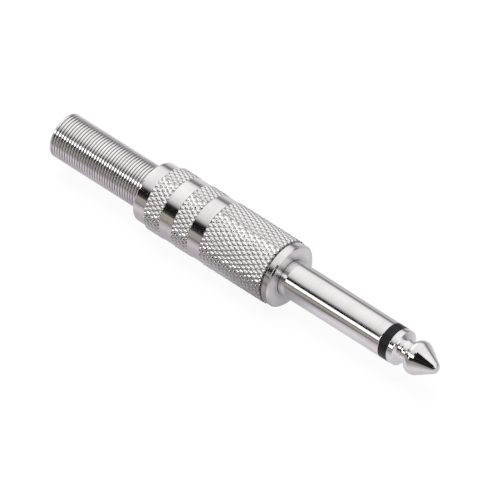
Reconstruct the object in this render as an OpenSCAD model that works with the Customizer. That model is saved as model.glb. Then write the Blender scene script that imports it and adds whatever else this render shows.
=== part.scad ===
// Two-pole quarter-inch jack plug with a knurled metal shell and a close-wound
// strain relief spring. The plug lies along X: the tip points along +X, and the
// origin is on the axis, in the plane of the flange's front face.

/* [Finger] */
// Diameter of the finger that enters the jack
finger_d = 6.35; // [6.2:0.05:6.5]
// Length of the finger, from the flange face to the tip's nose
finger_length = 31.85; // [31.5:0.05:32.5]
// Wall of the sleeve tube
sleeve_wall = 0.975; // [0.9:0.025:1.1]
// Diameter of the rod, as a share of the sleeve's bore
rod_share = 0.545; // [0.5:0.005:0.58]
// Width of the insulating ring that shows between sleeve and tip
ring_width = 1.7; // [1.5:0.1:1.8]
// Length of the tip's collar, in front of the insulating ring
collar_length = 1.1; // [0.9:0.05:1.3]
// Axial length of the slope from the collar down to the neck
groove_flank = 0.8; // [0.6:0.05:1]
// Length of the neck between that slope and the tip's head
neck_length = 0.96; // [0.8:0.02:1.2]
// Depth of the neck below the head
neck_depth = 1.07; // [0.9:0.01:1.2]
// Depth of the head below the finger's diameter
head_relief = 0.155; // [0.1:0.005:0.2]
// Radius of the rounded shoulder of the head
head_round = 1.5; // [1.4:0.05:1.6]
// Angle of the tip's cone to the axis
cone_angle = 31.5; // [30:0.5:33]
// Radius of the rounded nose
nose_round = 1.2; // [1:0.05:1.3]

/* [Flanged body] */
// Wall of the body, from the finger's diameter out to the thread
body_wall = 1.825; // [1.7:0.025:1.9]
// Thickness of the flange
flange_thickness = 1.45; // [1.2:0.05:1.8]
// Depth of the flange's rim below the knurl's points
flange_step = 0.2; // [0.1:0.05:0.3]
// Bevel on the flange's front edge
flange_bevel = 0.28; // [0.15:0.01:0.4]
// Depth of the shell thread
thread_depth = 0.4; // [0.35:0.01:0.46]
// Length of the threaded part, with its run-out groove
thread_length = 6; // [5:0.25:6.5]
// Width of the run-out groove
runout_width = 0.6; // [0.4:0.1:0.8]

/* [Shell] */
// Wall of the shell, from its thread out to the knurl's points
shell_wall = 0.85; // [0.75:0.05:1]
// Depth of the knurl
knurl_depth = 0.18; // [0.14:0.02:0.24]
// Number of knurl ridges around the shell, in each direction
knurl_count = 40; // [36:1:44]
// Angle of the knurl ridges to the axis
knurl_angle = 30; // [28:1:32]
// Length of the knurled grip at the front of the shell
grip_length = 13.3; // [13:0.1:14]
// Length of each of the two narrow knurled bands
knurl_band_length = 3.48; // [3.2:0.02:3.6]
// Length of each of the two smooth bands between the knurled ones
smooth_band_length = 2.62; // [2.4:0.02:2.8]
// Depth of those two smooth bands below the knurl's points
smooth_band_depth = 0.13; // [0.1:0.01:0.18]
// Length of the smooth collar at the rear of the shell
rear_collar_length = 2.65; // [2.5:0.05:3]
// Depth of that collar below the end of the knurl's grooves
rear_collar_step = 0.19; // [0.1:0.01:0.25]
// Rounding of the shell's rear edge
rear_edge_round = 0.4; // [0.3:0.05:0.5]
// Thickness of the shell's rear wall
rear_wall = 1.5; // [1.3:0.1:1.7]
// Width of the seam between the flange and the shell
seam = 0.1; // [0.05:0.01:0.15]

/* [Spring] */
// Diameter of the spring wire
wire_d = 0.54; // [0.5:0.01:0.56]
// Gap between neighbouring turns
turn_gap = 0.0125; // [0.005:0.0025:0.02]
// Number of turns behind the shell
outer_turns = 36; // [30:1:38]
// Number of wide turns that hold the spring in the shell
flare_turns = 1.5; // [1:0.25:2]
// How much wider those turns are, on the radius
flare_step = 0.5; // [0.4:0.05:0.6]

/* [Inside] */
// Wall of the insulating liner
liner_wall = 0.25; // [0.2:0.05:0.3]
// Thickness of the ground lug's sheet
ground_sheet = 0.5; // [0.4:0.05:0.6]
// Width of the sleeve's rolled lip behind the ground lug
lip_width = 0.475; // [0.4:0.025:0.475]
// Angle that the ground lug's arm covers
arm_angle = 56; // [48:2:64]
// Distance of the ground lug's wire hole behind the sleeve
ground_hole_back = 5.5; // [4.5:0.5:6.5]
// Angle that the cable clamp covers
clamp_angle = 232; // [220:4:240]
// Length of the cable clamp
clamp_length = 5; // [4:0.5:6]
// Thickness of the rear insulator's flange
insulator_thickness = 1.2; // [1:0.1:1.4]
// Thickness of the tip lug's sheet
tip_sheet = 0.4; // [0.3:0.05:0.5]
// Width of the tip lug
tip_lug_width = 2.8; // [2.6:0.1:3.2]
// Length of the tip lug's arm
tip_arm_length = 7; // [6:0.5:7.5]
// Width of the riveted end of the rod, outside the rod
rivet_width = 0.5; // [0.4:0.05:0.6]
// Diameter of the wire holes in both lugs
wire_hole_d = 1.4; // [1.2:0.1:1.6]

/* [Hidden] */

round_fn = 96;
nickel = [0.77, 0.76, 0.75];
bright_nickel = [0.84, 0.83, 0.82];
spring_steel = [0.66, 0.65, 0.64];
tin = [0.72, 0.72, 0.7];
black_plastic = [0.12, 0.13, 0.14];
natural_plastic = [0.86, 0.84, 0.78];
liner_plastic = [0.18, 0.18, 0.2];

thread_clearance = 0.04;
slide_clearance = 0.1;
core_clearance = 0.04;
flare_clearance = 0.13;
lug_clearance = 0.25;
arm_clearance = 0.2;
edge_bevel = 0.12;
knurl_phase = 0.75; // turn of the first row's first point, in columns

// Diameters, from the finger outwards
sleeve_bore = finger_d - 2 * sleeve_wall;
rod_d = rod_share * sleeve_bore;
rod_tail_d = 0.75 * rod_d;
rivet_d = rod_d + 2 * rivet_width;
spigot_d = sleeve_bore - 2 * core_clearance;
core_bore_d = rod_d + 2 * core_clearance;
collar_d = finger_d - 0.06;
head_d = finger_d - 2 * head_relief;
neck_d = head_d - 2 * neck_depth;
thread_d = finger_d + 2 * body_wall;
tap_d = thread_d + 2 * thread_clearance;
knurl_d = thread_d + 2 * shell_wall;
knurl_cap_r = knurl_d / 2 - knurl_depth - 0.03;
flange_d = knurl_d - 2 * flange_step;
smooth_band_d = knurl_d - 2 * smooth_band_depth;
rear_collar_d = 2 * (knurl_cap_r - rear_collar_step);
shell_bore = thread_d - 2 * thread_depth;
flare_d = shell_bore - 2 * flare_clearance;
spring_d = flare_d - 2 * flare_step;
spring_hole_d = spring_d + 2 * slide_clearance;
liner_d = shell_bore - 2 * slide_clearance;
liner_bore = liner_d - 2 * liner_wall;
ground_lug_d = liner_bore - 2 * lug_clearance;

// The sleeve steps down where it is pressed into the body, behind a fine seam
seat_d = finger_d - 0.4;
seat_recess = 0.12;
seat_seam = 0.07;
lip_d = seat_d + 2 * lip_width;
insulator_d = lip_d - 0.2;

// Stations along the finger, from the nose backwards
nose_x = finger_length - nose_round;
apex_x = nose_x + nose_round / sin(cone_angle);
head_round_r = head_d / 2 - head_round;
head_round_x = apex_x - (head_round_r + head_round * cos(cone_angle)) / tan(cone_angle)
    - head_round * sin(cone_angle);
head_back_angle = acos((neck_d / 2 - head_round_r) / head_round);
head_back_x = head_round_x - head_round * sin(head_back_angle);
neck_x = head_back_x - neck_length;
flank_x = neck_x - groove_flank;
collar_x = flank_x - collar_length;
ring_x = collar_x - ring_width;

// Stations behind the flange's front face
flange_back_x = -flange_thickness;
body_back_x = flange_back_x - thread_length;
lip_x = body_back_x - ground_sheet;
insulator_x = lip_x - 0.5;
spigot_length = 1.5;
tip_lug_x = insulator_x - insulator_thickness;
tip_lug_back_x = tip_lug_x - tip_sheet;
tip_arm_height = rivet_d / 2 + arm_clearance;
rivet_height = 0.6;

// Stations of the shell, from the front backwards
shell_x = flange_back_x - seam;
grip_back_x = shell_x - grip_length;
band_pitch = smooth_band_length + knurl_band_length;
rear_collar_x = grip_back_x - 2 * band_pitch;
shell_back_x = rear_collar_x - rear_collar_length;
seat_x = shell_back_x + rear_wall;
tap_x = body_back_x - 0.75;
seat_slope = 0.6; // axial length of the drilled cone for each millimetre of radius
cone_x = seat_x + seat_slope * (shell_bore - spring_hole_d) / 2;
knurl_edge = 0.2; // length of the slope at each end of a knurled band
half_diagonal = PI * knurl_d / knurl_count / tan(knurl_angle) / 2;

// Stations of the spring's wire
turn_pitch = wire_d + turn_gap;
coil_r = (spring_d - wire_d) / 2;
flare_r = (flare_d - wire_d) / 2;
spring_end_x = shell_back_x - outer_turns * turn_pitch + wire_d / 2;
widen_x = seat_x + wire_d / 2;
flare_x = cone_x + wire_d / 2 + 0.12;
wire_steps = 12; // steps for each turn
wire_sides = 6;
wire_count = ceil(wire_steps * ((flare_x - spring_end_x) / turn_pitch + flare_turns));
spring_front_x = spring_end_x + wire_count * turn_pitch / wire_steps;

// The liner and the ground lug fill the room between the body and the spring
liner_front_x = tap_x - slide_clearance;
liner_back_x = spring_front_x + wire_d;
clamp_back_x = liner_back_x + 0.2;
clamp_x = clamp_back_x + clamp_length;
ground_hole_x = insulator_x - ground_hole_back;

// Points on an arc about [radius, place along X], from angle a to angle b
function arc(centre, radius, a, b, steps) =
    [for (i = [0:steps]) let (t = a + (b - a) * i / steps)
        centre + radius * [cos(t), sin(t)]];

// A turned piece, from its outline as [radius, place along X]
module turned(outline) {
    rotate([0, 90, 0]) rotate_extrude($fn = round_fn) polygon(outline);
}

// A round bar or hole along X, from x0 to x1
module bar(d, x0, x1) {
    translate([min(x0, x1), 0, 0]) rotate([0, 90, 0])
        cylinder(d = d, h = abs(x1 - x0), $fn = round_fn);
}

module plug_sleeve() {
    bore = sleeve_bore / 2;
    r = finger_d / 2;
    seat = seat_d / 2;
    color(bright_nickel) turned([
        [bore, insulator_x], [lip_d / 2, insulator_x], [lip_d / 2, lip_x], [seat, lip_x],
        [seat, -seat_recess], [r, -seat_recess],
        [r, ring_x - edge_bevel], [r - edge_bevel, ring_x], [bore, ring_x]
    ]);
}

module threaded_body() {
    bore = seat_d / 2 + 0.01;
    recess = finger_d / 2 + seat_seam;
    flange = flange_d / 2;
    thread = thread_d / 2;
    root = thread - thread_depth - 0.05;
    color(nickel) turned([
        [bore, body_back_x], [thread - 0.35, body_back_x], [thread, body_back_x + 0.35],
        [thread, flange_back_x - runout_width - thread_depth / 2],
        [root, flange_back_x - runout_width], [root, flange_back_x],
        [flange - 0.06, flange_back_x], [flange, flange_back_x + 0.06],
        [flange, -flange_bevel], [flange - flange_bevel, 0],
        [recess, 0], [recess, -seat_recess], [bore, -seat_recess]
    ]);
}

// The nose, cone, head, neck, collar and long rod are turned from one bar; the
// tail of the rod is riveted over the lug
module tip_contact() {
    rod = rod_d / 2;
    tail = rod_tail_d / 2;
    collar = collar_d / 2;
    neck = neck_d / 2;
    rivet = rivet_d / 2;
    rivet_x = tip_lug_back_x - rivet_height;
    color(bright_nickel) turned(concat(
        [[0, rivet_x], [rivet - 0.5, rivet_x], [rivet - 0.12, rivet_x + 0.2],
         [rivet, rivet_x + 0.4], [rivet, tip_lug_back_x], [tail, tip_lug_back_x],
         [tail, tip_lug_x], [rod, tip_lug_x], [rod, collar_x],
         [collar - 0.1, collar_x], [collar, collar_x + 0.1],
         [collar, flank_x - 0.12], [collar - 0.1, flank_x + 0.04],
         [neck + 0.08, neck_x - 0.06], [neck, neck_x + 0.08]],
        arc([head_round_r, head_round_x], head_round, -head_back_angle, cone_angle, 14),
        arc([0, nose_x], nose_round, cone_angle, 86, 8),
        [[0, finger_length]]
    ));
}

module tip_insulator() {
    bore = core_bore_d / 2;
    r = finger_d / 2;
    color(black_plastic) turned([
        [bore, ring_x - spigot_length], [spigot_d / 2, ring_x - spigot_length],
        [spigot_d / 2, ring_x], [r - 0.06, ring_x], [r, ring_x + 0.06],
        [r, collar_x - 0.06], [r - 0.06, collar_x], [bore, collar_x]
    ]);
}

module core_insulator() {
    color(natural_plastic) difference() {
        bar(spigot_d, insulator_x + spigot_length + 0.1, ring_x - spigot_length - 0.1);
        bar(core_bore_d, insulator_x, ring_x);
    }
}

module rear_insulator() {
    bore = core_bore_d / 2;
    r = insulator_d / 2;
    color(natural_plastic) turned([
        [bore, tip_lug_x], [r - 0.2, tip_lug_x], [r, tip_lug_x + 0.2], [r, insulator_x],
        [spigot_d / 2, insulator_x], [spigot_d / 2, insulator_x + spigot_length],
        [bore, insulator_x + spigot_length]
    ]);
}

// A strip bent from the rivet to an arm along the plug, with a hole for the wire
module tip_lug() {
    width = tip_lug_width;
    top = tip_arm_height + tip_sheet;
    bend = 0.3; // inner radius of the bend
    arm_x = tip_lug_back_x - tip_arm_length + width / 2;
    corner = [tip_lug_back_x - bend, tip_arm_height - bend];
    color(tin) difference() {
        union() {
            translate([0, width / 2, 0]) rotate([90, 0, 0]) linear_extrude(height = width)
                polygon(concat(
                    [[tip_lug_x, 0], [tip_lug_back_x, 0]],
                    [for (i = [0:6]) corner + bend * [cos(15 * i), sin(15 * i)]],
                    [[arm_x, tip_arm_height], [arm_x, top]],
                    [for (i = [6:-1:0]) corner + (bend + tip_sheet) * [cos(15 * i), sin(15 * i)]]
                ));
            bar(width + 1, tip_lug_back_x, tip_lug_x);
            translate([arm_x, 0, tip_arm_height])
                cylinder(d = width, h = tip_sheet, $fn = round_fn);
        }
        bar(rod_tail_d + 2 * core_clearance, tip_lug_back_x - 1, tip_lug_x + 1);
        translate([arm_x, 0, tip_arm_height - 1])
            cylinder(d = wire_hole_d, h = 2 + tip_sheet, $fn = round_fn);
    }
}

// A length of the ground lug's rolled sheet, centred on the underside
module rolled_sheet(x0, x1, angle) {
    reach = ground_lug_d;
    half = angle / 2;
    difference() {
        intersection() {
            bar(ground_lug_d, x0, x1);
            translate([x0, 0, 0]) rotate([0, 90, 0]) linear_extrude(height = x1 - x0)
                polygon(concat([[0, 0]],
                    [for (i = [0:8]) let (t = half * (i / 4 - 1))
                        reach * [cos(t), sin(t)]]));
        }
        bar(ground_lug_d - 2 * ground_sheet, x0 - 1, x1 + 1);
    }
}

// A ring on the sleeve's rear end, an arm with a wire hole, and the cable clamp
module ground_lug() {
    color(tin) difference() {
        union() {
            bar(ground_lug_d, lip_x, body_back_x);
            rolled_sheet(clamp_x - 0.01, body_back_x - 0.01, arm_angle);
            rolled_sheet(clamp_back_x, clamp_x, clamp_angle);
        }
        bar(seat_d + 2 * core_clearance, lip_x - 1, body_back_x + 1);
        bar(ground_lug_d - 2 * ground_sheet, clamp_back_x - 1, lip_x);
        translate([ground_hole_x, 0, -ground_lug_d])
            cylinder(d = wire_hole_d, h = ground_lug_d, $fn = round_fn);
    }
}

module insulating_liner() {
    color(liner_plastic) difference() {
        bar(liner_d, liner_back_x, liner_front_x);
        bar(liner_bore, liner_back_x - 1, liner_front_x + 1);
    }
}

// A solid knurled band from x0 forward to x1: rows of alternating points and hollows
module knurled_band(x0, x1) {
    columns = 2 * knurl_count;
    inner = x1 - x0 - 2 * knurl_edge;
    rows = max(2, round(inner / half_diagonal));
    top = knurl_d / 2;
    low = top - knurl_depth;
    radius = function(k, m) k == 0 || k == rows + 2 ? knurl_cap_r
        : (k + m) % 2 == 0 ? top : low;
    place = function(k) k == 0 ? x0 : k == rows + 2 ? x1
        : x0 + knurl_edge + inner * (k - 1) / rows;
    points = [for (k = [0:rows + 2], m = [0:columns - 1])
        let (r = radius(k, m), t = 360 * (m + knurl_phase) / columns)
            [place(k), r * cos(t), r * sin(t)]];
    at = function(k, m) k * columns + m % columns;
    sides = [for (k = [0:rows + 1], m = [0:columns - 1])
        each (k + m) % 2 == 0
            ? [[at(k, m), at(k + 1, m), at(k, m + 1)],
               [at(k, m + 1), at(k + 1, m), at(k + 1, m + 1)]]
            : [[at(k, m), at(k + 1, m), at(k + 1, m + 1)],
               [at(k, m), at(k + 1, m + 1), at(k, m + 1)]]];
    back = [[for (m = [0:columns - 1]) at(0, m)]];
    front = [[for (m = [columns - 1:-1:0]) at(rows + 2, m)]];
    polyhedron(points = points, faces = concat(back, sides, front));
}

module shell() {
    collar = rear_collar_d / 2;
    edge = rear_edge_round;
    color(nickel) difference() {
        union() {
            knurled_band(grip_back_x, shell_x);
            bar(smooth_band_d, grip_back_x - smooth_band_length, grip_back_x);
            knurled_band(grip_back_x - band_pitch, grip_back_x - smooth_band_length);
            bar(smooth_band_d, grip_back_x - band_pitch - smooth_band_length,
                grip_back_x - band_pitch);
            knurled_band(rear_collar_x, grip_back_x - band_pitch - smooth_band_length);
            turned(concat(
                [[0, shell_back_x]],
                arc([collar - edge, shell_back_x + edge], edge, -90, 0, 6),
                [[collar, rear_collar_x], [0, rear_collar_x]]
            ));
        }
        bar(tap_d, tap_x, shell_x + 1);
        bar(shell_bore, cone_x, tap_x + 1);
        turned([
            [0, seat_x], [spring_hole_d / 2, seat_x], [shell_bore / 2, cone_x], [0, cone_x]
        ]);
        bar(spring_hole_d, shell_back_x - 1, seat_x + 0.1);
    }
}

// One closed sweep of the wire, from the rear end forward into the shell, where
// it widens behind the shell's rear wall
module strain_relief_spring() {
    smooth = function(t) t <= 0 ? 0 : t >= 1 ? 1 : t * t * (3 - 2 * t);
    axis_r = function(x) coil_r
        + (flare_r - coil_r) * smooth((x - widen_x) / (flare_x - widen_x));
    ring = function(i)
        let (x = spring_end_x + i * turn_pitch / wire_steps, r = axis_r(x),
             turn = 360 * i / wire_steps)
        [for (j = [0:wire_sides - 1])
            let (s = 360 * j / wire_sides, out = r + wire_d / 2 * sin(s))
            [x + wire_d / 2 * cos(s), out * cos(turn), out * sin(turn)]];
    points = [for (i = [0:wire_count]) each ring(i)];
    at = function(i, j) i * wire_sides + j % wire_sides;
    sides = [for (i = [0:wire_count - 1], j = [0:wire_sides - 1]) each
        [[at(i, j), at(i + 1, j), at(i + 1, j + 1)],
         [at(i, j), at(i + 1, j + 1), at(i, j + 1)]]];
    color(spring_steel) polyhedron(points = points, faces = concat(
        [[for (j = [0:wire_sides - 1]) at(0, j)]], sides,
        [[for (j = [wire_sides - 1:-1:0]) at(wire_count, j)]]
    ));
}

plug_sleeve();
threaded_body();
tip_contact();
tip_insulator();
core_insulator();
rear_insulator();
tip_lug();
ground_lug();
insulating_liner();
shell();
strain_relief_spring();
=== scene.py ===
import math

import bmesh
import bpy
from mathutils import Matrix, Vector


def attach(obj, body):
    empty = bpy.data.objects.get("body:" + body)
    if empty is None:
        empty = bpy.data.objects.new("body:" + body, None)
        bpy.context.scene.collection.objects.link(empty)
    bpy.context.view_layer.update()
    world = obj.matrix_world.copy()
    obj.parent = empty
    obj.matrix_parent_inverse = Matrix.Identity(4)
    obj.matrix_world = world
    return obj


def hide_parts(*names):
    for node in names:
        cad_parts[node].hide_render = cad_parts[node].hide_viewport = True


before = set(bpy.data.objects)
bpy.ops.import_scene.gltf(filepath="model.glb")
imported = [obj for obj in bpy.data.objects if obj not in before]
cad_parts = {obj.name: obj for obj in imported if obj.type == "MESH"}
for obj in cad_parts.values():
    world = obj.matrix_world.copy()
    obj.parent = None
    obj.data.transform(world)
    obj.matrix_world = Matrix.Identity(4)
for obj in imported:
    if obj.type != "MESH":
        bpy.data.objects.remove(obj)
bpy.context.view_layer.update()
print("frame loaded:", ", ".join(sorted(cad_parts)))

mm = 0.001  # sizes below are in millimetres

# the photograph's view: nearly square on, seen from above the tip's side
view = {
    "azimuth": 41.7,
    "elevation": 45.1,
    "distance": 2.6,
    "frameWidth": 81.17,  # across the whole picture, at the plug
    "right": -6.565,  # where the picture's middle lies, from the flange's face
    "up": 4.396,
}


def viewAxes():
    a, e = math.radians(view["azimuth"]), math.radians(view["elevation"])
    right = Vector((math.cos(a), math.sin(a), 0))
    up = Vector((-math.sin(a) * math.sin(e), math.cos(a) * math.sin(e), math.cos(e)))
    return right, up, right.cross(up)


def addCamera():
    right, up, back = viewAxes()
    middle = (right * view["right"] + up * view["up"]) * mm
    data = bpy.data.cameras.new("photoCamera")
    data.sensor_width = 36
    data.lens = 36 * view["distance"] / (view["frameWidth"] * mm)
    data.clip_start, data.clip_end = 0.05, 50
    camera = bpy.data.objects.new("photoCamera", data)
    bpy.context.collection.objects.link(camera)
    camera.location = middle + back * view["distance"]
    camera.rotation_euler = back.to_track_quat("Z", "Y").to_euler()
    bpy.context.scene.camera = camera


addCamera()
print("camera set")

# node helpers for the materials


class Nodes:
    def __init__(self, tree):
        self.tree = tree

    def add(self, kind, **values):
        node = self.tree.nodes.new(kind)
        for name, value in values.items():
            setattr(node, name, value)
        return node

    def link(self, output, socket):
        self.tree.links.new(output, socket)

    def math(self, operation, first, second=None, third=None):
        node = self.add("ShaderNodeMath", operation=operation)
        for socket, value in zip(node.inputs, (first, second, third)):
            if value is None:
                continue
            if isinstance(value, (int, float)):
                socket.default_value = value
            else:
                self.link(value, socket)
        return node.outputs[0]

    def mapped(self, coords, scale, turn=(0, 0, 0)):
        node = self.add("ShaderNodeMapping")
        node.inputs["Scale"].default_value = scale
        node.inputs["Rotation"].default_value = turn
        self.link(coords, node.inputs["Vector"])
        return node.outputs[0]

    def noise(self, vector, scale, detail=2.0, roughness=0.5):
        node = self.add("ShaderNodeTexNoise")
        node.inputs["Scale"].default_value = scale
        node.inputs["Detail"].default_value = detail
        node.inputs["Roughness"].default_value = roughness
        self.link(vector, node.inputs["Vector"])
        return node.outputs["Fac"]

    def ramp(self, value, stops):
        node = self.add("ShaderNodeValToRGB")
        ramp = node.color_ramp
        while len(ramp.elements) < len(stops):
            ramp.elements.new(0.5)
        for element, (place, colour) in zip(ramp.elements, stops):
            element.position = place
            element.color = (*colour, 1)
        self.link(value, node.inputs["Fac"])
        return node.outputs["Color"]

    def between(self, value, low, high, start, end):
        node = self.add("ShaderNodeMapRange")
        for name, number in (("From Min", low), ("From Max", high), ("To Min", start), ("To Max", end)):
            node.inputs[name].default_value = number
        self.link(value, node.inputs["Value"])
        return node.outputs["Result"]


def newMaterial(name):
    material = bpy.data.materials.new(name)
    material.use_nodes = True
    nodes = Nodes(material.node_tree)
    shader = material.node_tree.nodes["Principled BSDF"]
    coords = nodes.add("ShaderNodeTexCoord").outputs["Object"]
    return material, nodes, shader, coords


# plated metal: turned marks run round the axis, rubbed marks along it, with faint cloudy tone
# the groove, valley, root, face and seam entries paint shade into the metal's colour
metals = {
    "sleeveNickel": {"dark": (0.80, 0.785, 0.79), "light": (0.93, 0.915, 0.915), "rough": (0.05, 0.09),
                     "turned": 0.0007, "rubbed": 0.004, "cloud": 190, "lineScale": 5200, "face": 0.25,
                     "seamShade": ((-0.00030, 0.00003),), "rootShade": (0.0, 0.0012, 0.35)},
    "tipNickel": {"dark": (0.80, 0.785, 0.79), "light": (0.94, 0.925, 0.925), "rough": (0.03, 0.07),
                  "turned": 0.0009, "rubbed": 0.003, "cloud": 330, "lineScale": 5200, "face": 0.08},
    "flangeNickel": {"dark": (0.78, 0.765, 0.77), "light": (0.92, 0.905, 0.905), "rough": (0.06, 0.12),
                     "turned": 0.0016, "rubbed": 0.004, "cloud": 210, "lineScale": 7000, "face": 0.26,
                     "faceShade": (0.0032, 0.0044, 0.4),
                     "seamShade": ((-0.00142, -0.00138),)},
    "shellNickel": {"dark": (0.80, 0.785, 0.79), "light": (0.93, 0.915, 0.915), "rough": (0.03, 0.06),
                    "turned": 0.0005, "rubbed": 0.0015, "cloud": 240, "lineScale": 6000, "face": 0.2,
                    "groove": (0.7, 1.0, 0.75), "seamShade": ((-0.00170, -0.00159),)},
    "springNickel": {"dark": (0.80, 0.785, 0.79), "light": (0.95, 0.935, 0.935), "rough": (0.08, 0.16),
                     "turned": 0.0, "rubbed": 0.0, "cloud": 420, "lineScale": 5200, "face": 0.0,
                     "valleyShade": (0.00376, 0.00392, 0.95)},
    "tinnedBrass": {"dark": (0.60, 0.585, 0.54), "light": (0.76, 0.745, 0.70), "rough": (0.26, 0.42),
                    "turned": 0.0, "rubbed": 0.03, "cloud": 520, "lineScale": 2600, "face": 0.0},
}


def platedMetal(name):
    finish = metals[name]
    material, nodes, shader, coords = newMaterial(name)
    cloud = nodes.noise(coords, finish["cloud"], 4, 0.6)
    turned = nodes.noise(nodes.mapped(coords, (finish["lineScale"], 45, 45)), 1, 3, 0.65)
    rubbed = nodes.noise(nodes.mapped(coords, (90, 3600, 3600)), 1, 4, 0.7)
    speck = nodes.noise(coords, 3100, 2, 0.5)
    tone = nodes.math("MULTIPLY_ADD", cloud, 0.55, nodes.math("MULTIPLY", turned, 0.45))
    shader.inputs["Metallic"].default_value = 1
    colour = nodes.ramp(tone, [(0.34, finish["dark"]), (0.58, finish["light"])])
    # faces turned square to the axis keep the tool's rings, so they shine less
    parts = nodes.add("ShaderNodeSeparateXYZ")
    nodes.link(nodes.add("ShaderNodeTexCoord").outputs["Normal"], parts.inputs[0])
    facing = nodes.math("POWER", nodes.math("ABSOLUTE", parts.outputs["X"]), 6.0)
    place = nodes.add("ShaderNodeSeparateXYZ")
    nodes.link(coords, place.inputs[0])
    square = nodes.math("MULTIPLY", place.outputs["Y"], place.outputs["Y"])
    square = nodes.math("MULTIPLY_ADD", place.outputs["Z"], place.outputs["Z"], square)
    radius = nodes.add("ShaderNodeCombineXYZ")
    nodes.link(nodes.math("MULTIPLY", nodes.math("SQRT", square), 8200), radius.inputs["X"])
    rings = nodes.math("MULTIPLY", nodes.noise(radius.outputs[0], 1, 2, 0.6), facing)
    # faint cloudy tarnish, and painted shade in the bottoms of the knurl's grooves, between the spring's turns, in
    # the corner at the finger's root and in the seams between pieces
    dullAndShade = nodes.between(cloud, 0.2, 0.9, 0.0, 0.03)
    # painted shade in the knurl's grooves: the deeper the groove, the darker
    if "groove" in finish:
        groove = nodes.add("ShaderNodeAttribute", attribute_name="groove")
        low, high, most = finish["groove"]
        dullAndShade = nodes.between(groove.outputs["Fac"], low, high, 0.0, most)
    # painted shade between the spring's turns: darker the nearer the wire's surface lies to the coil's axis
    if "valleyShade" in finish:
        low, high, most = finish["valleyShade"]
        dullAndShade = nodes.between(nodes.math("SQRT", square), low, high, most, 0.0)
    # painted shade on the finger's root, in the corner between flange and finger
    if "rootShade" in finish:
        low, high, most = finish["rootShade"]
        cornerShade = nodes.math("MULTIPLY", nodes.between(place.outputs["X"], low, high, most, 0.0), speck)
        dullAndShade = nodes.math("MAXIMUM", dullAndShade, cornerShade)
    # painted shade on the flange's face, in a ring round the finger's root
    if "faceShade" in finish:
        low, high, most = finish["faceShade"]
        cornerShade = nodes.math("MULTIPLY", nodes.between(nodes.math("SQRT", square), low, high, most, 0.0), facing)
        dullAndShade = nodes.math("MAXIMUM", dullAndShade, cornerShade)
    # painted shade in the seams between pieces
    for low, high in finish.get("seamShade", ()):
        seam = nodes.math("MULTIPLY", nodes.between(place.outputs["X"], low - 0.00003, low, 0.0, 1.0),
                          nodes.between(place.outputs["X"], high, high + 0.00003, 1.0, 0.0))
        dullAndShade = nodes.math("MAXIMUM", dullAndShade, nodes.math("MULTIPLY", seam, 0.85))
    # the dark colour is painted shade in grooves, turns, corners and seams, and faint tarnish where the cloudy tone
    # runs high
    tarnishAndShade = nodes.add("ShaderNodeMix", data_type="RGBA")
    nodes.link(dullAndShade, tarnishAndShade.inputs["Factor"])
    nodes.link(colour, tarnishAndShade.inputs[6])
    tarnishAndShade.inputs[7].default_value = (0.10, 0.095, 0.09, 1)
    nodes.link(tarnishAndShade.outputs[2], shader.inputs["Base Color"])
    low, high = finish["rough"]
    wear = nodes.math("MULTIPLY_ADD", rubbed, 0.5, nodes.math("MULTIPLY", speck, 0.5))
    wear = nodes.between(wear, 0.34, 0.66, low, high)
    nodes.link(nodes.math("MULTIPLY_ADD", facing, finish["face"], wear), shader.inputs["Roughness"])
    marks = nodes.math("MULTIPLY_ADD", turned, finish["turned"],
                       nodes.math("MULTIPLY", rubbed, finish["rubbed"]))
    marks = nodes.math("MULTIPLY_ADD", rings, 0.02, nodes.math("MULTIPLY_ADD", speck, 0.002, marks))
    bump = nodes.add("ShaderNodeBump")
    bump.inputs["Strength"].default_value = 0.6
    bump.inputs["Distance"].default_value = 0.0002
    nodes.link(marks, bump.inputs["Height"])
    nodes.link(bump.outputs["Normal"], shader.inputs["Normal"])
    return material


plastics = {
    "blackPlastic": {"dark": (0.003, 0.004, 0.005), "light": (0.010, 0.013, 0.016), "rough": (0.16, 0.28),
                     "shine": 0.22, "grain": 2600, "depth": 0.02, "line": 5200},
    "naturalPlastic": {"dark": (0.60, 0.56, 0.47), "light": (0.76, 0.72, 0.63), "rough": (0.35, 0.50),
                       "shine": 0.5, "grain": 1500, "depth": 0.03, "line": 3000},
    "linerPlastic": {"dark": (0.020, 0.020, 0.023), "light": (0.045, 0.045, 0.050), "rough": (0.30, 0.45),
                     "shine": 0.4, "grain": 1800, "depth": 0.02, "line": 900},
}


def mouldedPlastic(name):
    finish = plastics[name]
    material, nodes, shader, coords = newMaterial(name)
    grain = nodes.noise(coords, finish["grain"], 3, 0.6)
    line = nodes.noise(nodes.mapped(coords, (finish["line"], 60, 60)), 1, 2, 0.5)
    cloud = nodes.noise(coords, 260, 2, 0.5)
    tone = nodes.math("MULTIPLY_ADD", grain, 0.4, nodes.math("MULTIPLY", cloud, 0.6))
    nodes.link(nodes.ramp(tone, [(0.36, finish["dark"]), (0.62, finish["light"])]), shader.inputs["Base Color"])
    low, high = finish["rough"]
    nodes.link(nodes.between(line, 0.35, 0.65, low, high), shader.inputs["Roughness"])
    shader.inputs["IOR"].default_value = 1.5
    shader.inputs["Specular IOR Level"].default_value = finish["shine"]
    bump = nodes.add("ShaderNodeBump")
    bump.inputs["Strength"].default_value = 0.5
    bump.inputs["Distance"].default_value = 0.0002
    nodes.link(nodes.math("MULTIPLY", nodes.math("ADD", grain, line), finish["depth"]), bump.inputs["Height"])
    nodes.link(bump.outputs["Normal"], shader.inputs["Normal"])
    return material


metal = {name: platedMetal(name) for name in metals}
plastic = {name: mouldedPlastic(name) for name in plastics}
print("materials made")

# turned pieces: an outline of (place along X, radius, rounding) is spun about the X axis


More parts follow.
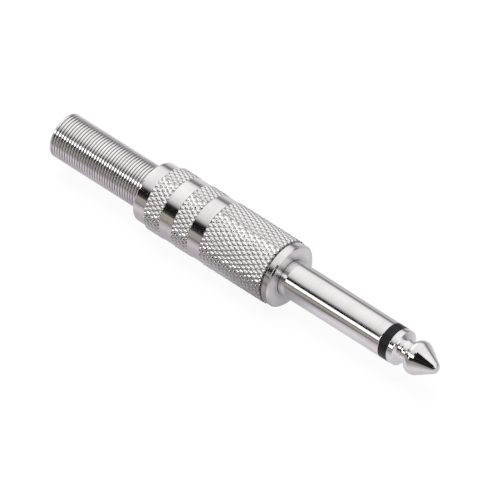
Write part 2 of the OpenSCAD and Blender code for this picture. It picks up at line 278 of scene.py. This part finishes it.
def roundedOutline(corners, steps=5):
    points = []
    count = len(corners)
    for i, corner in enumerate(corners):
        x, r, rounding = (*corner, 0)[:3]
        here = Vector((x, r))
        if not rounding:
            points.append(here)
            continue
        before = Vector(corners[i - 1][:2]) - here
        after = Vector(corners[(i + 1) % count][:2]) - here
        half = before.angle(after) / 2
        reach = min(rounding / math.tan(half), before.length * 0.49, after.length * 0.49)
        start, end = here + before.normalized() * reach, here + after.normalized() * reach
        for j in range(steps + 1):
            t = j / steps
            points.append(start * (1 - t) ** 2 + here * 2 * t * (1 - t) + end * t ** 2)
    return points


def supported(points, closed, margin=0.05):
    # an extra ring near both ends of each long face keeps its shading straight
    kept = []
    points = [Vector(p[:2]) for p in points]
    for here, after in zip(points, points[1:] + ([points[0]] if closed else [])):
        kept.append(here)
        span = (after - here).length
        if span > 4 * margin:
            step = (after - here) * (margin / span)
            kept += [here + step, after - step]
    return kept if closed else [*kept, points[-1]]


def arcOutline(centreX, centreR, radius, start, end, steps):
    return [(centreX + radius * math.sin(math.radians(start + (end - start) * i / steps)),
             centreR + radius * math.cos(math.radians(start + (end - start) * i / steps)))
            for i in range(steps + 1)]


def spunMesh(name, outline, columns, closed, turn=0.0, values=None):
    mesh = bpy.data.meshes.new(name)
    verts, faces, rings, carried = [], [], [], []
    for i, (x, r) in enumerate((p[0], p[1]) for p in outline):
        if r < 1e-6:
            rings.append([len(verts)])
            verts.append((x * mm, 0, 0))
            carried.append(i)
            continue
        ring = []
        for j in range(columns):
            a = 2 * math.pi * (j + turn) / columns
            ring.append(len(verts))
            verts.append((x * mm, r * math.cos(a) * mm, r * math.sin(a) * mm))
            carried.append(i)
        rings.append(ring)
    pairs = list(zip(rings, rings[1:]))
    if closed:
        pairs.append((rings[-1], rings[0]))
    for first, second in pairs:
        for j in range(columns):
            k = (j + 1) % columns
            if len(first) == 1 and len(second) == 1:
                break
            if len(first) == 1:
                faces.append((first[0], second[k], second[j]))
            elif len(second) == 1:
                faces.append((first[j], first[k], second[0]))
            else:
                faces.append((first[j], first[k], second[k], second[j]))
    mesh.from_pydata(verts, [], faces)
    for attribute, numbers in (values or {}).items():
        layer = mesh.attributes.new(attribute, "FLOAT", "POINT")
        layer.data.foreach_set("value", [numbers[i] for i in carried])
    shaped = bmesh.new()
    shaped.from_mesh(mesh)
    bmesh.ops.recalc_face_normals(shaped, faces=shaped.faces)
    shaped.to_mesh(mesh)
    shaped.free()
    return mesh


def softEdges(mesh, angle=32):
    mesh.shade_smooth()
    mesh.set_sharp_from_angle(angle=math.radians(angle))


def addPiece(name, mesh, material, body, nodes):
    piece = bpy.data.objects.new(name, mesh)
    bpy.context.collection.objects.link(piece)
    piece.data.materials.clear()
    piece.data.materials.append(material)
    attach(piece, body)
    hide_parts(*nodes)
    return piece


def spunPiece(name, corners, material, body, node, closed=True, columns=160):
    outline = supported(roundedOutline(corners), closed)
    mesh = spunMesh(name, outline, columns, closed)
    softEdges(mesh)
    return addPiece(name, mesh, material, body, [node])


finger = {
    "radius": 3.175,
    "bore": 2.2,
    "seat": 2.975,
    "seatDepth": 0.12,
    "lip": 3.45,
    "lipFront": -7.95,
    "rear": -8.45,
    "ringStart": 21.6,
    "ringEnd": 23.3,
}

plugSleeve = spunPiece(
    "plugSleeve",
    [(finger["rear"], finger["bore"], 0.05), (finger["rear"], finger["lip"], 0.15),
     (finger["lipFront"], finger["lip"], 0.12), (finger["lipFront"], finger["seat"]),
     (-finger["seatDepth"], finger["seat"]), (-finger["seatDepth"], finger["radius"], 0.02),
     (finger["ringStart"] - 0.14, finger["radius"], 0.06), (finger["ringStart"], finger["radius"] - 0.13, 0.02),
     (finger["ringStart"], finger["bore"])],
    metal["sleeveNickel"], "plug", "plug_sleeve")

tipInsulator = spunPiece(
    "tipInsulator",
    [(finger["ringStart"] - 1.5, 1.24), (finger["ringStart"] - 1.5, 2.16), (finger["ringStart"], 2.16),
     (finger["ringStart"], finger["radius"], 0.07), (finger["ringEnd"], finger["radius"], 0.07),
     (finger["ringEnd"], 1.24)],
    plastic["blackPlastic"], "plug", "tip_insulator")

tip = {
    "length": 31.85,
    "coneAngle": 31.5,
    "noseRound": 1.2,
    "head": 3.02,
    "headRound": 1.5,
    "neck": 1.95,
    "neckFront": 26.159,
    "neckBack": 25.199,
    "flank": 24.4,
    "collar": 3.145,
    "rod": 1.2,
    "tail": 0.9,
    "rivet": 1.7,
}


def tipOutline():
    t = tip
    apex = t["length"] - t["noseRound"] + t["noseRound"] / math.sin(math.radians(t["coneAngle"]))
    slope = math.radians(t["coneAngle"])
    headR = t["head"] - t["headRound"]
    headX = apex - (headR + t["headRound"] * math.cos(slope)) / math.tan(slope) - t["headRound"] * math.sin(slope)
    back = math.degrees(math.acos((t["neck"] - headR) / t["headRound"]))
    start = roundedOutline(
        [(-10.65, 0), (-10.65, t["rivet"], 0.35), (-10.05, t["rivet"], 0.05), (-10.05, t["tail"]),
         (-9.65, t["tail"]), (-9.65, t["rod"]), (finger["ringEnd"], t["rod"]),
         (finger["ringEnd"], t["collar"], 0.1), (t["flank"], t["collar"], 0.16),
         (t["neckBack"], t["neck"], 0.45), (t["neckFront"] - 0.02, t["neck"], 0.06), (headX, headR)], 7)[:-1]
    head = arcOutline(headX, headR, t["headRound"], -back + 4, t["coneAngle"], 22)
    nose = arcOutline(t["length"] - t["noseRound"], 0, t["noseRound"], t["coneAngle"], 90, 16)[:-1]
    return [tuple(p) for p in start] + head + nose + [(t["length"], 0)]


tipMesh = spunMesh("tipContact", supported(tipOutline(), False), 160, False)
softEdges(tipMesh, 38)
tipContact = addPiece("tipContact", tipMesh, metal["tipNickel"], "plug", ["tip_contact"])
print("finger made")

# geometry nodes for what repeats: the knurl, the threads and the spring's turns


def newTree(name, inputs):
    tree = bpy.data.node_groups.new(name, "GeometryNodeTree")
    tree.interface.new_socket(name="Geometry", in_out="INPUT", socket_type="NodeSocketGeometry")
    for label, kind, value in inputs:
        socket = tree.interface.new_socket(name=label, in_out="INPUT", socket_type=kind)
        if value is not None:
            socket.default_value = value
    tree.interface.new_socket(name="Geometry", in_out="OUTPUT", socket_type="NodeSocketGeometry")
    nodes = Nodes(tree)
    given = nodes.add("NodeGroupInput")
    result = nodes.add("NodeGroupOutput")
    return tree, nodes, given, result


def finishTree(nodes, geometry, given, result):
    realize = nodes.add("GeometryNodeRealizeInstances")
    material = nodes.add("GeometryNodeSetMaterial")
    nodes.link(geometry, realize.inputs["Geometry"])
    nodes.link(realize.outputs["Geometry"], material.inputs["Geometry"])
    nodes.link(given.outputs["Material"], material.inputs["Material"])
    nodes.link(material.outputs["Geometry"], result.inputs["Geometry"])


def angleAndRadial(nodes):
    position = nodes.add("GeometryNodeInputPosition").outputs[0]
    parts = nodes.add("ShaderNodeSeparateXYZ")
    nodes.link(position, parts.inputs[0])
    turns = nodes.math("DIVIDE", nodes.math("ARCTAN2", parts.outputs["Z"], parts.outputs["Y"]), 2 * math.pi)
    outward = nodes.add("ShaderNodeCombineXYZ")
    nodes.link(parts.outputs["Y"], outward.inputs["Y"])
    nodes.link(parts.outputs["Z"], outward.inputs["Z"])
    unit = nodes.add("ShaderNodeVectorMath", operation="NORMALIZE")
    nodes.link(outward.outputs[0], unit.inputs[0])
    return turns, unit.outputs[0], parts


def moveRadially(nodes, geometry, unit, amount):
    scaled = nodes.add("ShaderNodeVectorMath", operation="SCALE")
    nodes.link(unit, scaled.inputs[0])
    nodes.link(amount, scaled.inputs["Scale"])
    move = nodes.add("GeometryNodeSetPosition")
    nodes.link(geometry, move.inputs["Geometry"])
    nodes.link(scaled.outputs[0], move.inputs["Offset"])
    return move.outputs["Geometry"]


def namedValue(nodes, name):
    node = nodes.add("GeometryNodeInputNamedAttribute", data_type="FLOAT")
    node.inputs["Name"].default_value = name
    return node.outputs["Attribute"]


def knurlTree():
    tree, nodes, given, result = newTree("diamondKnurl", [
        ("Ridges", "NodeSocketFloat", 40.0), ("Turn", "NodeSocketFloat", 0.0),
        ("Depth", "NodeSocketFloat", 0.00018), ("Flat", "NodeSocketFloat", 0.1), ("Thread Pitch", "NodeSocketFloat", 0.00075),
        ("Thread Depth", "NodeSocketFloat", 0.00042), ("Material", "NodeSocketMaterial", None)])
    turns, unit, parts = angleAndRadial(nodes)
    across = nodes.math("MULTIPLY_ADD", turns, given.outputs["Ridges"], given.outputs["Turn"])
    phase = namedValue(nodes, "knurlPhase")
    left = nodes.math("PINGPONG", nodes.math("ADD", across, phase), 0.5)
    right = nodes.math("PINGPONG", nodes.math("SUBTRACT", across, phase), 0.5)
    domed = [nodes.math("SINE", nodes.math("MULTIPLY", side, math.pi)) for side in (left, right)]
    height = nodes.math("MULTIPLY", *domed)
    height = nodes.math("DIVIDE", height, nodes.math("SUBTRACT", 1.0, given.outputs["Flat"]))
    low = nodes.math("SUBTRACT", 1.0, nodes.math("MINIMUM", height, 1.0))
    low = nodes.math("MULTIPLY", low, namedValue(nodes, "knurlShare"))
    store = nodes.add("GeometryNodeStoreNamedAttribute", data_type="FLOAT", domain="POINT")
    store.inputs["Name"].default_value = "groove"
    nodes.link(given.outputs["Geometry"], store.inputs["Geometry"])
    nodes.link(low, store.inputs["Value"])
    knurl = nodes.math("MULTIPLY", low, given.outputs["Depth"])
    geometry = moveRadially(nodes, store.outputs["Geometry"], unit, nodes.math("MULTIPLY", knurl, -1.0))
    # the nut thread inside the shell's mouth
    along = nodes.math("DIVIDE", parts.outputs["X"], given.outputs["Thread Pitch"])
    helix = nodes.math("PINGPONG", nodes.math("SUBTRACT", along, turns), 0.5)
    cut = nodes.math("MULTIPLY", nodes.math("MULTIPLY", helix, 2), given.outputs["Thread Depth"])
    inward = nodes.math("MULTIPLY", nodes.math("MULTIPLY", cut, -1.0), namedValue(nodes, "threadShare"))
    geometry = moveRadially(nodes, geometry, unit, inward)
    finishTree(nodes, geometry, given, result)
    return tree


def threadTree():
    tree, nodes, given, result = newTree("screwThread", [
        ("Pitch", "NodeSocketFloat", 0.00075), ("Depth", "NodeSocketFloat", 0.0004),
        ("Material", "NodeSocketMaterial", None)])
    turns, unit, parts = angleAndRadial(nodes)
    along = nodes.math("DIVIDE", parts.outputs["X"], given.outputs["Pitch"])
    helix = nodes.math("PINGPONG", nodes.math("SUBTRACT", along, turns), 0.5)
    groove = nodes.math("SMOOTH_MIN", nodes.math("MULTIPLY", helix, 2.3), 1.0, 0.1)
    cut = nodes.math("MULTIPLY", nodes.math("MULTIPLY", groove, given.outputs["Depth"]),
                     namedValue(nodes, "threadShare"))
    geometry = moveRadially(nodes, given.outputs["Geometry"], unit, nodes.math("MULTIPLY", cut, -1.0))
    finishTree(nodes, geometry, given, result)
    return tree


def coilTree():
    tree, nodes, given, result = newTree("coiledWire", [
        ("Steps", "NodeSocketInt", 48), ("Points", "NodeSocketInt", 2000), ("Pitch", "NodeSocketFloat", 0.00055),
        ("Start", "NodeSocketFloat", -0.05), ("Coil Radius", "NodeSocketFloat", 0.0037),
        ("Wide Radius", "NodeSocketFloat", 0.0042), ("Widen From", "NodeSocketFloat", -0.028),
        ("Widen To", "NodeSocketFloat", -0.0275), ("Wire Radius", "NodeSocketFloat", 0.00027),
        ("Material", "NodeSocketMaterial", None)])
    line = nodes.add("GeometryNodeMeshLine")
    nodes.link(given.outputs["Points"], line.inputs["Count"])
    index = nodes.add("GeometryNodeInputIndex").outputs[0]
    turns = nodes.math("DIVIDE", index, given.outputs["Steps"])
    along = nodes.math("MULTIPLY_ADD", turns, given.outputs["Pitch"], given.outputs["Start"])
    widen = nodes.add("ShaderNodeMapRange", interpolation_type="SMOOTHSTEP")
    nodes.link(along, widen.inputs["Value"])
    nodes.link(given.outputs["Widen From"], widen.inputs["From Min"])
    nodes.link(given.outputs["Widen To"], widen.inputs["From Max"])
    nodes.link(given.outputs["Coil Radius"], widen.inputs["To Min"])
    nodes.link(given.outputs["Wide Radius"], widen.inputs["To Max"])
    radius = widen.outputs["Result"]
    angle = nodes.math("MULTIPLY", turns, 2 * math.pi)
    place = nodes.add("ShaderNodeCombineXYZ")
    nodes.link(along, place.inputs["X"])
    nodes.link(nodes.math("MULTIPLY", nodes.math("COSINE", angle), radius), place.inputs["Y"])
    nodes.link(nodes.math("MULTIPLY", nodes.math("SINE", angle), radius), place.inputs["Z"])
    move = nodes.add("GeometryNodeSetPosition")
    nodes.link(line.outputs["Mesh"], move.inputs["Geometry"])
    nodes.link(place.outputs[0], move.inputs["Position"])
    curve = nodes.add("GeometryNodeMeshToCurve")
    nodes.link(move.outputs["Geometry"], curve.inputs["Mesh"])
    circle = nodes.add("GeometryNodeCurvePrimitiveCircle")
    circle.inputs["Resolution"].default_value = 12
    nodes.link(given.outputs["Wire Radius"], circle.inputs["Radius"])
    sweep = nodes.add("GeometryNodeCurveToMesh")
    nodes.link(curve.outputs["Curve"], sweep.inputs["Curve"])
    nodes.link(circle.outputs["Curve"], sweep.inputs["Profile Curve"])
    sweep.inputs["Fill Caps"].default_value = True
    finishTree(nodes, sweep.outputs["Mesh"], given, result)
    return tree


def runTree(tree, mesh, values):
    piece = bpy.data.objects.new(tree.name, mesh)
    bpy.context.collection.objects.link(piece)
    modifier = piece.modifiers.new(tree.name, "NODES")
    modifier.node_group = tree
    sockets = {item.name: item.identifier for item in tree.interface.items_tree if item.in_out == "INPUT"}
    for label, value in values.items():
        modifier[sockets[label]] = value
    ready = bpy.context.evaluated_depsgraph_get()
    made = bpy.data.meshes.new_from_object(piece.evaluated_get(ready), depsgraph=ready)
    piece.modifiers.clear()
    bpy.data.objects.remove(piece)
    return made


def outwardMesh(mesh):
    shaped = bmesh.new()
    shaped.from_mesh(mesh)
    bmesh.ops.remove_doubles(shaped, verts=shaped.verts, dist=1e-7)
    bmesh.ops.recalc_face_normals(shaped, faces=shaped.faces)
    shaped.to_mesh(mesh)
    shaped.free()


def creaseGrooves(mesh):
    # each four-sided face of the knurl is split along its groove, so the facets stay crisp
    shaped = bmesh.new()
    shaped.from_mesh(mesh)
    depth = shaped.verts.layers.float["groove"]
    for face in [f for f in shaped.faces if len(f.verts) == 4]:
        a, b, c, d = face.verts
        if not any(v[depth] > 0 for v in face.verts):
            continue
        ends = (a, c) if abs(a[depth] - c[depth]) < abs(b[depth] - d[depth]) else (b, d)
        bmesh.utils.face_split(face, *ends)
    shaped.to_mesh(mesh)
    shaped.free()


body = {
    "flange": 5.65,
    "flangeBack": -1.45,
    "bevel": 0.28,
    "thread": 5.0,
    "threadDepth": 0.42,
    "pitch": 0.75,
    "runOut": 0.6,
    "root": 4.55,
    "rear": -7.45,
    "seam": 3.245,
    "rows": 12,  # for each thread turn
}


def threadedBody():
    b = body
    front = roundedOutline(
        [(b["flangeBack"] - b["runOut"], b["root"]), (b["flangeBack"], b["root"], 0.05),
         (b["flangeBack"], b["flange"] - 0.02, 0.06), (-b["bevel"], b["flange"], 0.05),
         (0, b["flange"] - b["bevel"], 0.04), (0, b["seam"], 0.025), (-finger["seatDepth"], b["seam"]),
         (-finger["seatDepth"], finger["seat"] + 0.01), (b["rear"], finger["seat"] + 0.01),
         (b["rear"], b["root"] + 0.05)])
    outline = [(p[0], p[1], 0.0) for p in supported(front, False)]
    rows = int((b["flangeBack"] - b["runOut"] - b["rear"]) / b["pitch"] * b["rows"])
    for i in range(rows + 1):
        x = b["rear"] + (b["flangeBack"] - b["runOut"] - b["rear"]) * i / rows
        taper = min(1.0, (x - b["rear"]) / 0.35)
        outline.append((x, b["root"] + 0.05 + (b["thread"] - b["root"] - 0.05) * taper, taper))
    mesh = spunMesh("threadedBody", outline, 160, True, values={"threadShare": [p[2] for p in outline]})
    made = runTree(threadTree(), mesh, {"Pitch": b["pitch"] * mm, "Depth": b["threadDepth"] * mm,
                                        "Material": metal["flangeNickel"]})
    outwardMesh(made)
    softEdges(made, 35)
    return addPiece("threadedBody", made, metal["flangeNickel"], "plug", ["threaded_body"])


threadedBody()
print("threaded body made")

shell = {
    "ridges": 40,
    "turn": -0.375,  # where the first ridge stands, in ridges
    "samples": 10,  # mesh columns for each ridge
    "crest": 5.85,
    "depth": 0.20,
    "flat": 0.02,
    "diagonal": 1.5915,  # along the axis, from one point to the next
    "front": -1.55,
    "gripBack": -14.85,
    "smoothLength": 2.62,
    "bandLength": 3.48,
    "smooth": 5.72,
    "collar": 5.45,
    "rear": -29.7,
    "bore": 4.6,
    "mouth": 5.04,
    "tapBack": -8.2,
    "seat": -28.2,
    "cone": -27.882,
    "hole": 4.07,
    "round": 0.4,
    "threadDepth": 0.40,
    "pitch": 0.75,
}


def shellOutline():
    s = shell
    rows = []  # place along X, radius, knurl share, knurl phase, thread share

    def plain(points):
        rows.extend((p[0], p[1], 0.0, 0.0, 0.0) for p in points)

    def knurled(x0, x1):
        inner = x1 - x0 - 0.4
        halves = max(2, round(inner / (s["diagonal"] / 2)))
        period = 2 * inner / halves
        count = round((x1 - x0) / (s["diagonal"] / s["samples"]))
        edge = 0.07  # the turned chamfer at both ends of a knurled band
        for i in range(count + 1):
            x = x0 + (x1 - x0) * i / count
            drop = max(0.0, 1 - (x - x0) / edge, 1 - (x1 - x) / edge) * 0.10
            rows.append((x, s["crest"] - drop, 1.0, (x - x0 - 0.2) / period, 0.0))

    back = s["gripBack"]
    pitch = s["smoothLength"] + s["bandLength"]
    collarFront = back - 2 * pitch
    rearRound = arcOutline(s["rear"] + s["round"], s["collar"] - s["round"], s["round"], -90, 0, 8)
    plain([(s["rear"], s["hole"] + 0.12), *rearRound])
    plain([(s["rear"] + s["round"] + 0.04, s["collar"]), (s["rear"] + 1.2, s["collar"]), (collarFront - 0.04, s["collar"]), (collarFront, s["collar"])])
    knurled(collarFront, back - pitch - s["smoothLength"])
    for start in (back - pitch - s["smoothLength"], back - s["smoothLength"]):
        end = start + s["smoothLength"]
        plain([(start, s["smooth"]), (start + 0.05, s["smooth"]), (end - 0.05, s["smooth"]), (end, s["smooth"])])
        knurled(end, s["front"] if end > back - 0.01 else end + s["bandLength"])
    plain([(s["front"], s["mouth"] + 0.25), (s["front"] - 0.2, s["mouth"])])
    count = round((s["front"] - 0.2 - s["tapBack"]) / s["pitch"] * 8)
    for i in range(count + 1):
        x = s["front"] - 0.2 + (s["tapBack"] + 0.25 - s["front"] + 0.2) * i / count
        rows.append((x, s["mouth"], 0.0, 0.0, min(1.0, i / 6, (count - i) / 6)))
    plain([(s["tapBack"], s["mouth"]), (s["tapBack"], s["bore"]), (s["cone"], s["bore"]),
           (s["seat"], s["hole"]), (s["rear"] + 0.12, s["hole"])])
    return rows


def knurledShell():
    s = shell
    rows = shellOutline()
    columns = s["ridges"] * s["samples"]
    mesh = spunMesh("knurledShell", rows, columns, True, values={
        "knurlShare": [p[2] for p in rows], "knurlPhase": [p[3] for p in rows], "threadShare": [p[4] for p in rows]})
    made = runTree(knurlTree(), mesh, {
        "Ridges": float(s["ridges"]), "Turn": s["turn"], "Depth": s["depth"] * mm, "Flat": s["flat"],
        "Thread Pitch": s["pitch"] * mm, "Thread Depth": s["threadDepth"] * mm,
        "Material": metal["shellNickel"]})
    outwardMesh(made)
    creaseGrooves(made)
    softEdges(made, 35)
    return addPiece("knurledShell", made, metal["shellNickel"], "shell", ["shell"])


knurledShell()
print("shell made")

coil = {
    "pitch": 0.5525,
    "steps": 48,
    "turns": 493 / 12,
    "start": -49.32,
    "radius": 3.7,
    "wide": 4.2,
    "widenFrom": -27.93,
    "widenTo": -27.492,
    "wire": 0.27,
}


def reliefSpring():
    c = coil
    seed = bpy.data.meshes.new("coiledWire")
    made = runTree(coilTree(), seed, {
        "Steps": c["steps"], "Points": round(c["turns"] * c["steps"]) + 1, "Pitch": c["pitch"] * mm,
        "Start": c["start"] * mm, "Coil Radius": c["radius"] * mm, "Wide Radius": c["wide"] * mm,
        "Widen From": c["widenFrom"] * mm, "Widen To": c["widenTo"] * mm, "Wire Radius": c["wire"] * mm,
        "Material": metal["springNickel"]})
    outwardMesh(made)
    softEdges(made, 40)
    return addPiece("reliefSpring", made, metal["springNickel"], "spring", ["strain_relief_spring"])


reliefSpring()
print("spring made")

# the pieces inside keep their own solids and get their finishes
inside = {
    "core_insulator": plastic["naturalPlastic"],
    "rear_insulator": plastic["naturalPlastic"],
    "tip_lug": metal["tinnedBrass"],
    "ground_lug": metal["tinnedBrass"],
    "insulating_liner": plastic["linerPlastic"],
}
for node, material in inside.items():
    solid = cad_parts[node]
    for i in range(max(1, len(solid.material_slots))):
        if not solid.material_slots:
            solid.data.materials.append(material)
        else:
            solid.material_slots[i].material = material
print("inner pieces finished")

studio = {
    "floor": -5.85,
    "floorSize": 6.0,
    "floorTone": (0.93, 0.93, 0.94),
    "floorWhite": 0.92,  # how much of the floor is plain white to the camera, under its shadow
    "cableEnd": 1.25,
    "lampEnergy": 9.0,
}


def stageSheet(name, corners, material):
    mesh = bpy.data.meshes.new(name)
    mesh.from_pydata(corners, [], [(0, 1, 2, 3)])
    sheet = bpy.data.objects.new(name, mesh)
    bpy.context.collection.objects.link(sheet)
    mesh.materials.append(material)
    return sheet


def glowMaterial(name, colour, strength):
    material = bpy.data.materials.new(name)
    material.use_nodes = True
    nodes = Nodes(material.node_tree)
    material.node_tree.nodes.clear()
    glow = nodes.add("ShaderNodeEmission")
    glow.inputs["Color"].default_value = (*colour, 1)
    glow.inputs["Strength"].default_value = strength
    output = nodes.add("ShaderNodeOutputMaterial")
    nodes.link(glow.outputs[0], output.inputs["Surface"])
    return material


def floorMaterial():
    material = bpy.data.materials.new("paleFloor")
    material.use_nodes = True
    nodes = Nodes(material.node_tree)
    material.node_tree.nodes.clear()
    plain = nodes.add("ShaderNodeBsdfDiffuse")
    plain.inputs["Color"].default_value = (*studio["floorTone"], 1)
    white = nodes.add("ShaderNodeEmission")
    # what the metal sees of the floor, a glow for glossy rays only with painted shadow: dimmer beneath the plug,
    # brown-grey further off on the near side
    parts = nodes.add("ShaderNodeSeparateXYZ")
    nodes.link(nodes.add("ShaderNodeTexCoord").outputs["Object"], parts.inputs[0])
    across = nodes.between(parts.outputs["Y"], -0.06, 0.06, 0.0, 1.0)

    def at(place):
        return (place + 60) / 120

    farSide = [(at(10), (0.70, 0.68, 0.71)), (at(22), (0.66, 0.64, 0.67)), (at(60), (0.56, 0.55, 0.56))]
    paintedShadeUnderShell = nodes.ramp(across, [
        (at(-55), (0.30, 0.275, 0.255)), (at(-28), (0.22, 0.195, 0.18)), (at(-20), (0.46, 0.42, 0.42)),
        (at(-13), (0.59, 0.555, 0.60)), (at(-8), (0.47, 0.44, 0.475)), (at(1), (0.44, 0.41, 0.44)), *farSide])
    paintedShadeUnderFinger = nodes.ramp(across, [
        (at(-58), (0.36, 0.34, 0.325)), (at(-31), (0.45, 0.425, 0.42)), (at(-18), (0.58, 0.555, 0.57)),
        (at(-8.5), (0.77, 0.74, 0.78)), (at(-5), (0.66, 0.64, 0.67)), (at(1), (0.60, 0.58, 0.61)), *farSide])
    mix = nodes.add("ShaderNodeMix", data_type="RGBA")
    nodes.link(nodes.between(parts.outputs["X"], -0.003, 0.006, 0.0, 1.0), mix.inputs["Factor"])
    nodes.link(paintedShadeUnderShell, mix.inputs[6])
    nodes.link(paintedShadeUnderFinger, mix.inputs[7])
    # painted shadow, darkest on the floor below the flange, and painted light beyond the spring's end
    paintedFloorShading = nodes.ramp(nodes.between(parts.outputs["X"], -0.06, 0.06, 0.0, 1.0), [
        (at(-38), (1.2, 1.2, 1.2)), (at(-30), (1, 1, 1)), (at(-12), (1, 1, 1)), (at(-7), (0.66, 0.66, 0.66)), (at(-2), (0.66, 0.66, 0.66)), (at(4), (1, 1, 1))])
    floorWithPaintedShading = nodes.add("ShaderNodeMix", data_type="RGBA", blend_type="MULTIPLY")
    floorWithPaintedShading.inputs["Factor"].default_value = 1
    nodes.link(mix.outputs[2], floorWithPaintedShading.inputs[6])
    nodes.link(paintedFloorShading, floorWithPaintedShading.inputs[7])
    mirrored = nodes.add("ShaderNodeEmission")
    nodes.link(floorWithPaintedShading.outputs[2], mirrored.inputs["Color"])
    path = nodes.add("ShaderNodeLightPath")
    seen = nodes.add("ShaderNodeMixShader")
    nodes.link(nodes.math("MULTIPLY", path.outputs["Is Camera Ray"], studio["floorWhite"]), seen.inputs["Fac"])
    nodes.link(plain.outputs[0], seen.inputs[1])
    nodes.link(white.outputs[0], seen.inputs[2])
    final = nodes.add("ShaderNodeMixShader")
    nodes.link(path.outputs["Is Glossy Ray"], final.inputs["Fac"])
    nodes.link(seen.outputs[0], final.inputs[1])
    nodes.link(mirrored.outputs[0], final.inputs[2])
    output = nodes.add("ShaderNodeOutputMaterial")
    nodes.link(final.outputs[0], output.inputs["Surface"])
    return material


half, low = studio["floorSize"] / 2, studio["floor"] * mm
stageSheet("floor", [(-half, -half, low), (half, -half, low), (half, half, low), (-half, half, low)],
           floorMaterial())


def studioWorld():
    world = bpy.data.worlds.new("studio")
    bpy.context.scene.world = world
    world.use_nodes = True
    nodes = Nodes(world.node_tree)
    world.node_tree.nodes.clear()
    direction = nodes.add("ShaderNodeTexCoord").outputs["Generated"]
    parts = nodes.add("ShaderNodeSeparateXYZ")
    nodes.link(direction, parts.inputs[0])
    # the studio's tone by angle about the plug's axis: 0 is overhead, 90 is the near side's horizon
    aside = nodes.math("ARCTAN2", nodes.math("MULTIPLY", parts.outputs["Y"], -1.0), parts.outputs["Z"])
    turn = nodes.math("MULTIPLY_ADD", aside, 1 / (2 * math.pi), 0.5)

    def at(angle):
        return (angle + 180) / 360

    mirrored = nodes.ramp(turn, [
        (0.0, (0.60, 0.58, 0.61)), (at(-84), (0.46, 0.455, 0.47)), (at(-77), (0.24, 0.235, 0.245)),
        (at(-69), (0.22, 0.215, 0.225)), (at(-60), (0.72, 0.71, 0.72)), (at(-50), (0.92, 0.91, 0.92)),
        (at(-20), (0.98, 0.97, 0.965)), (at(8), (0.90, 0.885, 0.885)), (at(29), (0.73, 0.715, 0.73)),
        (at(38), (0.47, 0.46, 0.475)), (at(47), (0.045, 0.045, 0.045)), (at(53), (0.008, 0.008, 0.008)),
        (at(68), (0.012, 0.012, 0.010)), (at(78), (0.06, 0.055, 0.05)), (at(84), (0.38, 0.36, 0.335)),
        (at(96), (0.32, 0.295, 0.275))])
    # past the cable end the studio is dark, which draws the knurl and the spring's turns
    behind = nodes.between(parts.outputs["X"], -0.70, -0.54, studio["cableEnd"], 1.0)
    behind = nodes.math("MULTIPLY", behind, nodes.between(parts.outputs["X"], -0.97, -0.92, 0.15, 1.0))
    glossy = nodes.add("ShaderNodeBackground")
    nodes.link(mirrored, glossy.inputs["Color"])
    nodes.link(behind, glossy.inputs["Strength"])
    plain = nodes.add("ShaderNodeBackground")
    plain.inputs["Color"].default_value = (0.95, 0.96, 1.0, 1)
    plain.inputs["Strength"].default_value = 0.55
    white = nodes.add("ShaderNodeBackground")
    white.inputs["Color"].default_value = (1, 1, 1, 1)
    path = nodes.add("ShaderNodeLightPath")
    first = nodes.add("ShaderNodeMixShader")
    nodes.link(path.outputs["Is Glossy Ray"], first.inputs["Fac"])
    nodes.link(plain.outputs[0], first.inputs[1])
    nodes.link(glossy.outputs[0], first.inputs[2])
    second = nodes.add("ShaderNodeMixShader")
    seen = nodes.math("MAXIMUM", path.outputs["Is Camera Ray"], path.outputs["Is Transmission Ray"])
    nodes.link(seen, second.inputs["Fac"])
    nodes.link(first.outputs[0], second.inputs[1])
    nodes.link(white.outputs[0], second.inputs[2])
    output = nodes.add("ShaderNodeOutputWorld")
    nodes.link(second.outputs[0], output.inputs["Surface"])


studioWorld()


def addLamp(name, place, size, energy):
    data = bpy.data.lights.new(name, "AREA")
    data.shape = "DISK"
    data.size = size
    data.energy = energy
    lamp = bpy.data.objects.new(name, data)
    bpy.context.collection.objects.link(lamp)
    lamp.location = place
    lamp.rotation_euler = Vector(place).to_track_quat("Z", "Y").to_euler()
    lamp.visible_glossy = False
    return lamp


addLamp("overhead", (-0.25, 0.15, 0.9), 0.9, studio["lampEnergy"])
addLamp("nearSide", (0.35, -0.75, 0.45), 0.7, studio["lampEnergy"] * 0.35)

# strips and cards that only the metal sees: lit ones for the finger and the spring's turns, dark
# ones between the turns and for the wedge on the tip's cone
strips = {
    "fingerStrip": {"angle": 67.5, "half": 8.5, "fromX": -0.168, "toX": -0.08, "reach": 0.309, "level": 1.3},
    "springStripFront": {"angle": 50, "half": 7.5, "fromX": -0.125, "toX": 0.19, "reach": 0.309, "level": 2.6},
    "springStripBack": {"angle": 50, "half": 7.5, "fromX": -0.6, "toX": -0.201, "reach": 0.309, "level": 2.6},
    "darkStripFront": {"angle": 29, "half": 9, "fromX": 0.10, "toX": 0.9, "reach": 0.309, "level": 0.05},
    "coneCard": {"angle": 27, "half": 20, "fromX": 0.20, "toX": 0.29, "reach": 0.308, "level": 0.012},
    "darkStripBack": {"angle": 29, "half": 9, "fromX": -0.6, "toX": -0.26, "reach": 0.309, "level": 0.3},
}
for name, strip in strips.items():
    low, high = (math.radians(strip["angle"] + side * strip["half"]) for side in (-1, 1))
    reach = strip["reach"]
    corners = [(x, -reach * math.sin(a), reach * math.cos(a))
               for x, a in ((strip["fromX"], low), (strip["toX"], low), (strip["toX"], high), (strip["fromX"], high))]
    sheet = stageSheet(name, corners, glowMaterial(name, (1, 0.99, 0.98), strip["level"]))
    sheet.visible_camera = False
    sheet.visible_diffuse = False
    sheet.visible_shadow = False
    sheet.visible_transmission = False

bpy.context.scene.view_settings.view_transform = "Standard"
print("stage and lights set")
